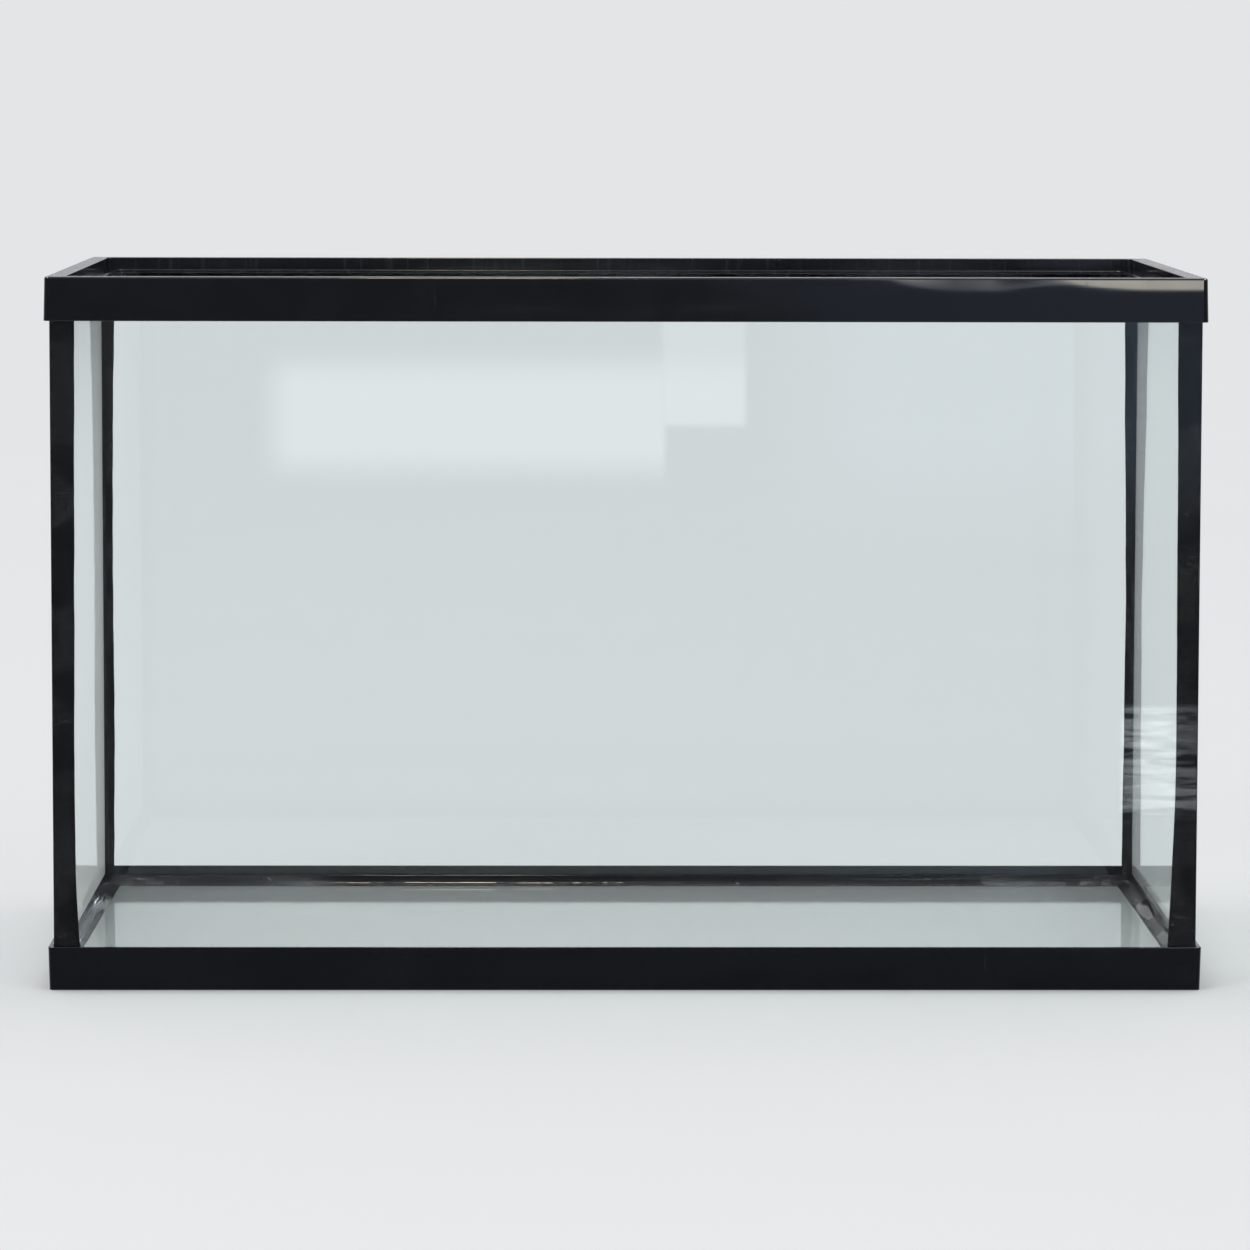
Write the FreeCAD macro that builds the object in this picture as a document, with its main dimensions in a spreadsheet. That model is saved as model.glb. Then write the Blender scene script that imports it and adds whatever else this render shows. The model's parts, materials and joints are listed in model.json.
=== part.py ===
import FreeCAD, Part
import Sketcher
import math
import os
import re

# Ten-gallon glass aquarium tank: five float-glass panes joined by silicone, in two moulded frames.
#
# Millimetres. The origin is the middle of the footprint, on the surface that the tank stands on.
# +X runs to the right along the tank's length, +Y to the back and +Z up.
#
# The front and back panes run the full length and lap the edges of the two end panes. The floor
# pane lies inside all four. The frames are one-piece mouldings: each outer wall leans outwards
# to its open edge, so the overall length and width are taken at those open edges.
# A setback is a distance inwards from that overall outline.

DIMENSIONS = {
    # alias: (value, meaning)
    "overall_length": (514.35, "20 1/4 in, at the open edge of either frame"),
    "overall_width": (266.7, "10 1/2 in, front to back"),
    "overall_height": (317.5, "12 1/2 in"),
    "glass_thickness": (3.2, "1/8 in float glass"),
    "glass_inset": (2.5, "setback of the glass box"),
    "glass_arris": (0.3, "seamed edge of every pane"),
    "bond_thickness": (0.6, "silicone between two panes"),
    "frame_wall": (1.6, "outer wall of a frame, at its open edge"),
    "draft_angle": (1.5, "degrees, lean of the outer walls"),
    "corner_radius": (2.5, "upright outer corners of the frames"),
    "channel_radius": (1.0, "upright corners of the glass channels"),
    "edge_round": (0.9, "long outer edges of the frames"),
    "lip_round": (0.35, "edges of the open lips, the ledge and the foot"),
    "top_frame_height": (19.5, "outer wall of the top frame"),
    "flange_thickness": (2.0, "roof over the glass channel"),
    "top_bedding": (0.9, "silicone between the panes and the roof"),
    "rim_width": (8.7, "setback of the lid recess"),
    "inner_wall": (2.0, "wall between the glass channel and the lid recess"),
    "recess_depth": (5.6, "from the rim down to the lid ledge"),
    "recess_radius": (2.0, "upright corners of the lid recess"),
    "ledge_width": (5.4, "lid ledge"),
    "ledge_thickness": (1.6, "lid ledge"),
    "mouth_radius": (3.0, "upright corners of the mouth inside the ledge"),
    "base_frame_height": (19.4, "outer wall of the bottom frame"),
    "shelf_height": (6.4, "top of the shelf that carries the panes"),
    "shelf_thickness": (1.6, "shelf"),
    "shelf_width": (8.3, "setback of the shelf's inner edge"),
    "foot_rail": (1.6, "inner wall that the shelf stands on"),
    "base_bedding": (0.6, "silicone between the shelf and the panes"),
    "rib_thickness": (1.4, "ribs between the outer wall and the foot rail"),
    "long_rib_span": (420.0, "first to last rib, front and back"),
    "short_rib_span": (168.0, "first to last rib, at the ends"),
    "front_leg": (6.9, "front corner fillets along the front pane"),
    "back_leg": (4.7, "back corner fillets along the back pane"),
    "end_leg": (4.6, "corner fillets along the end panes"),
    "corner_hollow": (7.0, "radius of the tooled face of a corner fillet"),
    "long_floor_leg": (3.0, "front and back base fillets along the floor pane"),
    "long_wall_leg": (5.0, "front and back base fillets up their panes"),
    "long_hollow": (6.0, "radius of the tooled face of a front or back base fillet"),
    "short_floor_leg": (6.2, "end base fillets along the floor pane"),
    "short_wall_leg": (6.4, "end base fillets up their panes"),
    "short_hollow": (9.0, "radius of the tooled face of an end base fillet"),
    "fillet_clearance": (0.4, "from the corner fillets up to the lid ledge"),
}
LONG_RIBS = 11
SHORT_RIBS = 5

# Derived sizes, as expressions of the sheet's aliases.
GLASS_LENGTH = "(overall_length - 2 * glass_inset)"
GLASS_WIDTH = "(overall_width - 2 * glass_inset)"
INNER_LENGTH = f"({GLASS_LENGTH} - 2 * glass_thickness)"
INNER_WIDTH = f"({GLASS_WIDTH} - 2 * glass_thickness)"
END_PANE_WIDTH = f"({INNER_WIDTH} - 2 * bond_thickness)"
FLOOR_LENGTH = f"({INNER_LENGTH} - 2 * bond_thickness)"
PANE_BASE = "(shelf_height + base_bedding)"
PANE_TOP = "(overall_height - flange_thickness - top_bedding)"
PANE_HEIGHT = f"({PANE_TOP} - {PANE_BASE})"
FLOOR_TOP = f"({PANE_BASE} + glass_thickness)"
LEDGE_TOP = "(overall_height - recess_depth)"
LEDGE_UNDERSIDE = f"({LEDGE_TOP} - ledge_thickness)"
TOP_FRAME_BASE = "(overall_height - top_frame_height)"

document = FreeCAD.newDocument("glass_aquarium_tank")
sheet = document.addObject("Spreadsheet::Sheet", "Dimensions")
sub_parts = []


def fill_sheet():
    for row, (alias, (number, meaning)) in enumerate(DIMENSIONS.items(), 1):
        sheet.set(f"A{row}", alias)
        sheet.set(f"B{row}", str(number))
        sheet.setAlias(f"B{row}", alias)
        sheet.set(f"C{row}", meaning)
    document.recompute()


def bound(expression):
    """The expression with every alias pointed at the sheet."""
    return re.sub(r"[a-z]+(?:_[a-z]+)+", lambda alias: f"{sheet.Name}.{alias.group()}", expression)


def value(expression):
    """The expression's number at the sheet's present values."""
    return float(sheet.evalExpression(bound(expression)))


def bind(item, **sizes):
    for name, expression in sizes.items():
        item.setExpression(name, bound(expression))
    return item


def place(item, x="0", y="0", z="0", turn=0):
    """Put an item at expressions of the sheet, turned by whole degrees about +Z."""
    item.Placement = FreeCAD.Placement(
        FreeCAD.Vector(), FreeCAD.Rotation(FreeCAD.Vector(0, 0, 1), turn)
    )
    for axis, expression in zip("xyz", (x, y, z)):
        item.setExpression(f"Placement.Base.{axis}", bound(expression))
    return item


def keep(item, name):
    """Count an object as one of the tank's sub-parts."""
    item.Label = name
    sub_parts.append(item)
    return item


# ---------------------------------------------------------------- sketches and features


def new_body(name):
    return document.addObject("PartDesign::Body", name)


def new_sketch(body, name, plane, height="0"):
    """A sketch on one of the body's own origin planes, lifted along the plane's normal."""
    sketch = body.newObject("Sketcher::SketchObject", name)
    origin_plane = next(item for item in body.Origin.OriginFeatures if item.Role == plane)
    sketch.AttachmentSupport = [(origin_plane, "")]
    sketch.MapMode = "FlatFace"
    sketch.setExpression("AttachmentOffset.Base.z", bound(height))
    return sketch


def constrain_size(sketch, name, expression, *constraint):
    """Add a dimension to a sketch and bind it to the sheet."""
    index = sketch.addConstraint(Sketcher.Constraint(*constraint, value(expression)))
    sketch.renameConstraint(index, name)
    sketch.setExpression(f"Constraints.{name}", bound(expression))


def add_rounded_rectangle(sketch, prefix, length, width, radius):
    """A rectangle with rounded corners about the sketch's origin."""
    half_length, half_width, round_by = value(length) / 2, value(width) / 2, value(radius)
    corners = [(1, 1), (-1, 1), (-1, -1), (1, -1)]
    arcs = []
    for quarter, (side_x, side_y) in enumerate(corners):
        centre = FreeCAD.Vector(
            side_x * (half_length - round_by), side_y * (half_width - round_by), 0
        )
        circle = Part.Circle(centre, FreeCAD.Vector(0, 0, 1), round_by)
        start = quarter * math.pi / 2
        arcs.append(sketch.addGeometry(Part.ArcOfCircle(circle, start, start + math.pi / 2)))
    lines = []
    for arc, following in zip(arcs, arcs[1:] + arcs[:1]):
        ends = sketch.getPoint(arc, 2), sketch.getPoint(following, 1)
        lines.append(sketch.addGeometry(Part.LineSegment(*ends)))
    for index, line in enumerate(lines):
        sketch.addConstraint(Sketcher.Constraint("Tangent", arcs[index], 2, line, 1))
        sketch.addConstraint(Sketcher.Constraint("Tangent", line, 2, arcs[(index + 1) % 4], 1))
        direction = "Vertical" if index % 2 else "Horizontal"
        sketch.addConstraint(Sketcher.Constraint(direction, line))
    for arc in arcs[1:]:
        sketch.addConstraint(Sketcher.Constraint("Equal", arcs[0], arc))
    sketch.addConstraint(Sketcher.Constraint("Symmetric", arcs[0], 3, arcs[2], 3, -1, 1))
    constrain_size(sketch, f"{prefix}_radius", radius, "Radius", arcs[0])
    constrain_size(sketch, f"{prefix}_length", length, "DistanceX", lines[1], 1, lines[3], 1)
    constrain_size(sketch, f"{prefix}_width", width, "DistanceY", lines[2], 1, lines[0], 1)


def add_rectangle(sketch, prefix, left, bottom, length, width):
    """A rectangle placed by its lower left corner."""
    x0, y0 = value(left), value(bottom)
    x1, y1 = x0 + value(length), y0 + value(width)
    points = [FreeCAD.Vector(x, y, 0) for x, y in ((x0, y0), (x1, y0), (x1, y1), (x0, y1))]
    lines = []
    for start, end in zip(points, points[1:] + points[:1]):
        lines.append(sketch.addGeometry(Part.LineSegment(start, end)))
    for index, line in enumerate(lines):
        sketch.addConstraint(Sketcher.Constraint("Coincident", line, 2, lines[(index + 1) % 4], 1))
        direction = "Vertical" if index % 2 else "Horizontal"
        sketch.addConstraint(Sketcher.Constraint(direction, line))
    corner = lines[0]
    constrain_size(sketch, f"{prefix}_left", left, "DistanceX", -1, 1, corner, 1)
    constrain_size(sketch, f"{prefix}_bottom", bottom, "DistanceY", -1, 1, corner, 1)
    constrain_size(sketch, f"{prefix}_length", length, "DistanceX", corner, 1, corner, 2)
    constrain_size(sketch, f"{prefix}_width", width, "DistanceY", lines[1], 1, lines[1], 2)


def pad(body, sketch, length, taper="0", downwards=False, both_ways=False):
    feature = body.newObject("PartDesign::Pad", f"{sketch.Name}_pad")
    feature.Profile = sketch
    bind(feature, Length=length, TaperAngle=taper)
    feature.Reversed = downwards
    feature.Midplane = both_ways
    document.recompute()
    return feature


def pocket(body, sketch, depth, upwards):
    """Cut a sketch out of the body, and make sure that the cut removes material."""
    volume_before = body.Shape.Volume
    feature = body.newObject("PartDesign::Pocket", f"{sketch.Name}_pocket")
    feature.Profile = sketch
    bind(feature, Length=depth)
    feature.Reversed = upwards
    document.recompute()
    if feature.Shape.Volume > volume_before - 1.0:
        raise RuntimeError(f"{feature.Name} cuts nothing")
    return feature


def ring_edges(feature, height, setback):
    """Names of the edges that run round the tank at one height and one setback."""
    level = value(height)
    distance = value(setback)
    half_length, half_width = value("overall_length") / 2, value("overall_width") / 2
    names = []
    for number, edge in enumerate(feature.Shape.Edges, 1):
        points = [vertex.Point for vertex in edge.Vertexes]
        on_ring = all(
            abs(point.z - level) < 0.01
            and abs(min(half_length - abs(point.x), half_width - abs(point.y)) - distance) < 0.05
            for point in points
        )
        if points and on_ring:
            names.append(f"Edge{number}")
    if not names:
        raise RuntimeError(f"no edges of {feature.Name} at height {level}, setback {distance}")
    return names


def round_rings(body, name, radius, rings):
    """Fillet the rings of edges given as (height, setback)."""
    base = body.Tip
    feature = body.newObject("PartDesign::Fillet", name)
    feature.Base = (base, sum((ring_edges(base, *ring) for ring in rings), []))
    bind(feature, Radius=radius)
    document.recompute()


def setback_length(setback):
    return f"(overall_length - 2 * {setback})"


def setback_width(setback):
    return f"(overall_width - 2 * {setback})"


def ring_sketch(body, name, height, outer, inner=None):
    """A rounded rectangle at a (setback, corner radius), or the band between two of them."""
    sketch = new_sketch(body, name, "XY_Plane", height)
    rings = [("outer", outer), ("inner", inner)] if inner else [("outer", outer)]
    for prefix, (setback, radius) in rings:
        add_rounded_rectangle(
            sketch, prefix, setback_length(setback), setback_width(setback), radius
        )
    return sketch


# ---------------------------------------------------------------- frames


def make_top_frame():
    """Rim moulding: roofed channel over the panes, with a recess and a ledge for a lid."""
    body = new_body("top_frame")
    outline = ring_sketch(body, "rim_outline", TOP_FRAME_BASE, ("0", "corner_radius"))
    pad(body, outline, "top_frame_height", taper="-draft_angle")
    inner_wall_setback = "(rim_width - inner_wall)"
    below_ledge = ring_sketch(
        body, "below_ledge", TOP_FRAME_BASE, ("frame_wall", "channel_radius")
    )
    pocket(body, below_ledge, f"{LEDGE_UNDERSIDE} - {TOP_FRAME_BASE}", upwards=True)
    channel = ring_sketch(
        body, "glass_channel", LEDGE_UNDERSIDE,
        ("frame_wall", "channel_radius"), (inner_wall_setback, "channel_radius"),
    )
    pocket(body, channel, "recess_depth + ledge_thickness - flange_thickness", upwards=True)
    recess = ring_sketch(body, "lid_recess", "overall_height", ("rim_width", "recess_radius"))
    pocket(body, recess, "recess_depth", upwards=False)
    mouth_setback = "(rim_width + ledge_width)"
    mouth = ring_sketch(body, "mouth", LEDGE_TOP, (mouth_setback, "mouth_radius"))
    pocket(body, mouth, "ledge_thickness", upwards=False)
    roof_setback = "(top_frame_height * tan(draft_angle))"
    round_rings(body, "rim_round", "edge_round", [("overall_height", roof_setback)])
    round_rings(
        body, "lip_rounds", "lip_round",
        [
            ("overall_height", "rim_width"),
            (LEDGE_TOP, mouth_setback),
            (LEDGE_UNDERSIDE, mouth_setback),
            (TOP_FRAME_BASE, "0"),
            (TOP_FRAME_BASE, "frame_wall"),
        ],
    )
    return keep(body, "top_frame")


def make_bottom_frame():
    """Base moulding: outer wall, shelf under the panes, foot rail and ribs."""
    body = new_body("bottom_frame")
    outline = ring_sketch(body, "base_outline", "base_frame_height", ("0", "corner_radius"))
    pad(body, outline, "base_frame_height", taper="-draft_angle", downwards=True)
    seat = ring_sketch(
        body, "glass_seat", "base_frame_height", ("frame_wall", "channel_radius")
    )
    pocket(body, seat, "base_frame_height - shelf_height", upwards=False)
    opening = ring_sketch(body, "floor_opening", "shelf_height", ("shelf_width", "mouth_radius"))
    pocket(body, opening, "shelf_height", upwards=False)
    rail_setback = "(shelf_width - foot_rail)"
    hollow = ring_sketch(
        body, "foot_hollow", "0",
        ("frame_wall", "channel_radius"), (rail_setback, "mouth_radius"),
    )
    pocket(body, hollow, "shelf_height - shelf_thickness", upwards=True)
    add_ribs(body)
    foot_setback = "(base_frame_height * tan(draft_angle))"
    round_rings(body, "foot_round", "lip_round", [("0", foot_setback)])
    round_rings(
        body, "base_lip_rounds", "lip_round",
        [("base_frame_height", "0"), ("base_frame_height", "frame_wall")],
    )
    return keep(body, "bottom_frame")


def add_ribs(body):
    """Ribs across the foot hollow, along the front and back and then along both ends."""
    hollow_width = "(shelf_width - foot_rail - frame_wall)"
    far_side = "(shelf_width - foot_rail)"
    depth = "shelf_height - shelf_thickness"
    near = ("-long_rib_span / 2 - rib_thickness / 2", "-overall_width / 2 + frame_wall")
    far = (near[0], f"overall_width / 2 - {far_side}")
    long_ribs = new_sketch(body, "long_rib", "XY_Plane")
    add_rectangle(long_ribs, "front", *near, "rib_thickness", hollow_width)
    add_rectangle(long_ribs, "back", *far, "rib_thickness", hollow_width)
    repeat_ribs(body, pad(body, long_ribs, depth), "H_Axis", "long_rib_span", LONG_RIBS)
    left = ("-overall_length / 2 + frame_wall", "-short_rib_span / 2 - rib_thickness / 2")
    right = (f"overall_length / 2 - {far_side}", left[1])
    short_ribs = new_sketch(body, "short_rib", "XY_Plane")
    add_rectangle(short_ribs, "left", *left, hollow_width, "rib_thickness")
    add_rectangle(short_ribs, "right", *right, hollow_width, "rib_thickness")
    repeat_ribs(body, pad(body, short_ribs, depth), "V_Axis", "short_rib_span", SHORT_RIBS)


def repeat_ribs(body, feature, axis, span, count):
    pattern = body.newObject("PartDesign::LinearPattern", f"{feature.Name}_row")
    pattern.Originals = [feature]
    pattern.Direction = (feature.Profile[0], [axis])
    pattern.Occurrences = count
    bind(pattern, Length=span)
    body.Tip = pattern
    document.recompute()


# ---------------------------------------------------------------- glass


def make_pane(name, length, width, height, x, y):
    """One pane with seamed edges, standing or lying with its lowest face on the bedding."""
    body = new_body(name)
    outline = new_sketch(body, f"{name}_outline", "XY_Plane")
    add_rectangle(outline, "pane", "0", "0", length, width)
    plate = pad(body, outline, height)
    arris = body.newObject("PartDesign::Chamfer", f"{name}_arris")
    arris.Base = (plate, [""])
    arris.UseAllEdges = True
    bind(arris, Size="glass_arris")
    place(body, x, y, PANE_BASE)
    return keep(body, name)


def make_panes():
    left, front = f"-{GLASS_LENGTH} / 2", f"-{GLASS_WIDTH} / 2"
    right, back = f"{GLASS_LENGTH} / 2 - glass_thickness", f"{GLASS_WIDTH} / 2 - glass_thickness"
    for name, y in (("front_pane", front), ("back_pane", back)):
        make_pane(name, GLASS_LENGTH, "glass_thickness", PANE_HEIGHT, left, y)
    for name, x in (("left_end_pane", left), ("right_end_pane", right)):
        make_pane(
            name, "glass_thickness", END_PANE_WIDTH, PANE_HEIGHT, x, f"-{END_PANE_WIDTH} / 2"
        )
    make_pane(
        "floor_pane", FLOOR_LENGTH, END_PANE_WIDTH, "glass_thickness",
        f"-{FLOOR_LENGTH} / 2", f"-{END_PANE_WIDTH} / 2",
    )


# ---------------------------------------------------------------- silicone


def make_strip(name, length, width, height, x, y, z):
    """A flat run of silicone squeezed between two faces."""
    strip = document.addObject("Part::Box", name)
    bind(strip, Length=length, Width=width, Height=height)
    place(strip, x, y, z)
    return keep(strip, name)


def make_corner_bonds():
    """Silicone between each upright edge of an end pane and the pane that laps it."""
    front = f"-{INNER_WIDTH} / 2"
    back = f"{INNER_WIDTH} / 2 - bond_thickness"
    left, right = f"-{GLASS_LENGTH} / 2", f"{INNER_LENGTH} / 2"
    for side, y in (("front", front), ("back", back)):
        for end, x in (("left", left), ("right", right)):
            make_strip(
                f"corner_bond_{side}_{end}", "glass_thickness", "bond_thickness", PANE_HEIGHT,
                x, y, PANE_BASE,
            )


def make_base_bonds():
    """Silicone between each edge of the floor pane and the wall pane beside it."""
    front, back = f"-{INNER_WIDTH} / 2", f"{INNER_WIDTH} / 2 - bond_thickness"
    for side, y in (("front", front), ("back", back)):
        make_strip(
            f"floor_bond_{side}", INNER_LENGTH, "bond_thickness", "glass_thickness",
            f"-{INNER_LENGTH} / 2", y, PANE_BASE,
        )
    left, right = f"-{INNER_LENGTH} / 2", f"{INNER_LENGTH} / 2 - bond_thickness"
    for end, x in (("left", left), ("right", right)):
        make_strip(
            f"floor_bond_{end}", "bond_thickness", END_PANE_WIDTH, "glass_thickness",
            x, f"-{END_PANE_WIDTH} / 2", PANE_BASE,
        )


def make_beddings():
    """Silicone that beds the panes on the bottom frame's shelf and under the top frame's roof."""
    reach = "(shelf_width - glass_inset)"
    layers = [
        ("base_bedding", reach, "base_bedding", "shelf_height"),
        ("rim_bedding", "glass_thickness", "top_bedding", PANE_TOP),
    ]
    for name, width, thickness, height in layers:
        left, front = f"-{GLASS_LENGTH} / 2", f"-{GLASS_WIDTH} / 2"
        right, back = f"{GLASS_LENGTH} / 2 - {width}", f"{GLASS_WIDTH} / 2 - {width}"
        between = f"({GLASS_WIDTH} - 2 * {width})"
        for side, y in (("front", front), ("back", back)):
            make_strip(f"{name}_{side}", GLASS_LENGTH, width, thickness, left, y, height)
        for end, x in (("left", left), ("right", right)):
            make_strip(f"{name}_{end}", width, between, thickness, x, f"-{between} / 2", height)


def add_hollow_fillet(sketch, leg_along, leg_up, hollow):
    """Two straight legs that meet at the origin, closed by a hollow arc."""
    foot = FreeCAD.Vector(value(leg_along), 0, 0)
    top = FreeCAD.Vector(0, value(leg_up), 0)
    radius = value(hollow)
    chord = top - foot
    outward = FreeCAD.Vector(chord.y, -chord.x, 0).normalize()
    centre_distance = math.sqrt(radius**2 - (chord.Length / 2) ** 2)
    centre = (foot + top) / 2 + outward * centre_distance
    start = math.atan2(top.y - centre.y, top.x - centre.x)
    end = math.atan2(foot.y - centre.y, foot.x - centre.x)
    circle = Part.Circle(centre, FreeCAD.Vector(0, 0, 1), radius)
    corner = FreeCAD.Vector()
    along = sketch.addGeometry(Part.LineSegment(corner, foot))
    up = sketch.addGeometry(Part.LineSegment(corner, top))
    arc = sketch.addGeometry(Part.ArcOfCircle(circle, start, end))
    sketch.addConstraint(Sketcher.Constraint("Coincident", along, 1, -1, 1))
    sketch.addConstraint(Sketcher.Constraint("Coincident", up, 1, -1, 1))
    sketch.addConstraint(Sketcher.Constraint("Horizontal", along))
    sketch.addConstraint(Sketcher.Constraint("Vertical", up))
    sketch.addConstraint(Sketcher.Constraint("Coincident", arc, 1, up, 2))
    sketch.addConstraint(Sketcher.Constraint("Coincident", arc, 2, along, 2))
    constrain_size(sketch, "along", leg_along, "DistanceX", along, 1, along, 2)
    constrain_size(sketch, "up", leg_up, "DistanceY", up, 1, up, 2)
    constrain_size(sketch, "hollow", hollow, "Radius", arc)


def make_corner_fillets():
    """Sealing fillets up the four inside corners. A quarter turn swaps the two legs."""
    half_length, half_width = f"{INNER_LENGTH} / 2", f"{INNER_WIDTH} / 2"
    corners = [
        ("front_left", 0, f"-{half_length}", f"-{half_width}", "front_leg"),
        ("front_right", 90, half_length, f"-{half_width}", "front_leg"),
        ("back_right", 180, half_length, half_width, "back_leg"),
        ("back_left", 270, f"-{half_length}", half_width, "back_leg"),
    ]
    fillets = []
    for corner, turn, x, y, face_leg in corners:
        name = f"corner_fillet_{corner}"
        body = new_body(name)
        section = new_sketch(body, f"{name}_section", "XY_Plane")
        legs = (face_leg, "end_leg") if turn in (0, 180) else ("end_leg", face_leg)
        add_hollow_fillet(section, *legs, "corner_hollow")
        pad(body, section, f"{LEDGE_UNDERSIDE} - fillet_clearance - {FLOOR_TOP}")
        fillets.append(keep(place(body, x, y, FLOOR_TOP, turn), name))
    return fillets


def make_base_run(side, turn, length, x, y):
    """A base fillet before its ends are fitted to its neighbours."""
    run = "long" if side in ("front", "back") else "short"
    body = new_body(f"base_run_{side}")
    section = new_sketch(body, f"base_section_{side}", "YZ_Plane")
    add_hollow_fillet(section, f"{run}_floor_leg", f"{run}_wall_leg", f"{run}_hollow")
    pad(body, section, length, both_ways=True)
    return place(body, x, y, FLOOR_TOP, turn)


def make_base_fillets(corner_fillets):
    """Sealing fillets round the floor. The end runs stop against the front and back runs."""
    half_length, half_width = f"{INNER_LENGTH} / 2", f"{INNER_WIDTH} / 2"
    front = make_base_run("front", 0, INNER_LENGTH, "0", f"-{half_width}")
    back = make_base_run("back", 180, INNER_LENGTH, "0", half_width)
    left = make_base_run("left", -90, INNER_WIDTH, f"-{half_length}", "0")
    right = make_base_run("right", 90, INNER_WIDTH, half_length, "0")
    for side, run, neighbours in (
        ("front", front, corner_fillets),
        ("back", back, corner_fillets),
        ("left", left, corner_fillets + [front, back]),
        ("right", right, corner_fillets + [front, back]),
    ):
        cutter = document.addObject("Part::MultiFuse", f"beside_{side}")
        cutter.Shapes = neighbours
        fitted = document.addObject("Part::Cut", f"base_fillet_{side}")
        fitted.Base = run
        fitted.Tool = cutter
        keep(fitted, f"base_fillet_{side}")


# ---------------------------------------------------------------- build, test and write


def check_document():
    """Stop on a failed feature or on a sub-part that isn't valid solids."""
    failed = [item.Name for item in document.Objects if {"Invalid", "Error"} & set(item.State)]
    if failed:
        raise RuntimeError(f"failed features: {failed}")
    for item in sub_parts:
        shape = item.Shape
        if shape.isNull() or not shape.isValid() or len(shape.Solids) != 1:
            raise RuntimeError(f"{item.Label} is not one valid solid")
    labels = [item.Label for item in sub_parts]
    if len(set(labels)) != len(labels):
        raise RuntimeError("two sub-parts share a label")


def main():
    fill_sheet()
    make_top_frame()
    make_bottom_frame()
    make_panes()
    make_corner_bonds()
    make_base_bonds()
    make_beddings()
    make_base_fillets(make_corner_fillets())
    document.recompute()
    check_document()
    os.makedirs("parts", exist_ok=True)
    for item in sub_parts:
        item.Shape.exportStep(f"parts/{item.Label}.step")
        box = item.Shape.BoundBox
        size = f"{box.XLength:.2f} x {box.YLength:.2f} x {box.ZLength:.2f} mm"
        print(f"{item.Label}: {size}, {item.Shape.Volume:.0f} mm3")


main()
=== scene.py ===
"""Looks for the glass aquarium tank: clear float glass, black moulded frames, tooled silicone."""

import json
import math
import random

import bpy
import bmesh
from mathutils import Euler, Matrix, Vector


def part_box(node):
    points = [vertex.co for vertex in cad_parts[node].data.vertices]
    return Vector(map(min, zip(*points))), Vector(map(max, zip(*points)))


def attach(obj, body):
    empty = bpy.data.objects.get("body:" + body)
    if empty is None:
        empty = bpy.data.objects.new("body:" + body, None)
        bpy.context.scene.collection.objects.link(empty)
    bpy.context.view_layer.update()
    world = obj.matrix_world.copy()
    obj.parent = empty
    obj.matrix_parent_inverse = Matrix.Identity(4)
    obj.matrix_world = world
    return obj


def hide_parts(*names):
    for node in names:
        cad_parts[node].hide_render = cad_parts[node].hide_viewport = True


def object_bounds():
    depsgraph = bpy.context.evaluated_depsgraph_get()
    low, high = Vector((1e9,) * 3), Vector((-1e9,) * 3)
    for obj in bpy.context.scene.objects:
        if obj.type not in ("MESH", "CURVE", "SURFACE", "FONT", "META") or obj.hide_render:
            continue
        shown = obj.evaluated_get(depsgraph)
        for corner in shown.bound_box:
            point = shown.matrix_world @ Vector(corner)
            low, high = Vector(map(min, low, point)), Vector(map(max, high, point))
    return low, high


MM = 0.001
UP = Vector((0, 0, 1))
SINK = 0.02 * MM  # silicone wets the glass, so its faces lie a hair inside the panes
CURL = 8.5 * MM  # the moulding's face leans back over this height below the rim
RIM_SKIN = 0.6 * MM  # the rim's flat top lies within this height of the tank's top
RIM_MOULDING = 9 * MM  # the width of the rim, seen from above
BEAD_STEP = 0.55 * MM  # spacing of the rings along a tooled fillet
SEAM_STEP = 2 * MM  # spacing of the rings along an upright seam
SEAM_SETBACK = 0.3 * MM  # how far an upright seam's edge lies inside its CAD node's
SEAM_ROUND = 0.16 * MM  # how far the middle of that edge stands out
LIP = 0.24 * MM  # thickness of a fillet's feathered edge

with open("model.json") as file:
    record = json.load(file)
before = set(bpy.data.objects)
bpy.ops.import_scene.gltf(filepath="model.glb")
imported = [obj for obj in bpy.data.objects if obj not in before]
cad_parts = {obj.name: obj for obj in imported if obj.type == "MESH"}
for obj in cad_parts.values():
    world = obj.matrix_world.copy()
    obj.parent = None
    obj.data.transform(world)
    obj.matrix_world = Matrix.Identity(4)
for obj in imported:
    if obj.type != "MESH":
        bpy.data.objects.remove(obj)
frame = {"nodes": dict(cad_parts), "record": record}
cad_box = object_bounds()
tank_low, tank_high = Vector(cad_box[0]), Vector(cad_box[1])
LENGTH = tank_high.x - tank_low.x
WIDTH = tank_high.y - tank_low.y


def node_box(name):
    """The lowest and highest corner of a CAD node."""
    low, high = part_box(name)
    return Vector(low), Vector(high)


front_low, front_high = node_box("front_pane")
INNER_LEFT = node_box("left_end_pane")[1].x
INNER_RIGHT = node_box("right_end_pane")[0].x
INNER_FRONT = front_high.y
INNER_BACK = node_box("back_pane")[0].y
FLOOR_TOP = node_box("floor_pane")[1].z
BEAD_TOP = node_box("corner_fillet_front_left")[1].z
RIM_BOTTOM = node_box("top_frame")[0].z


# ---------------------------------------------------------------- node helpers


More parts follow.
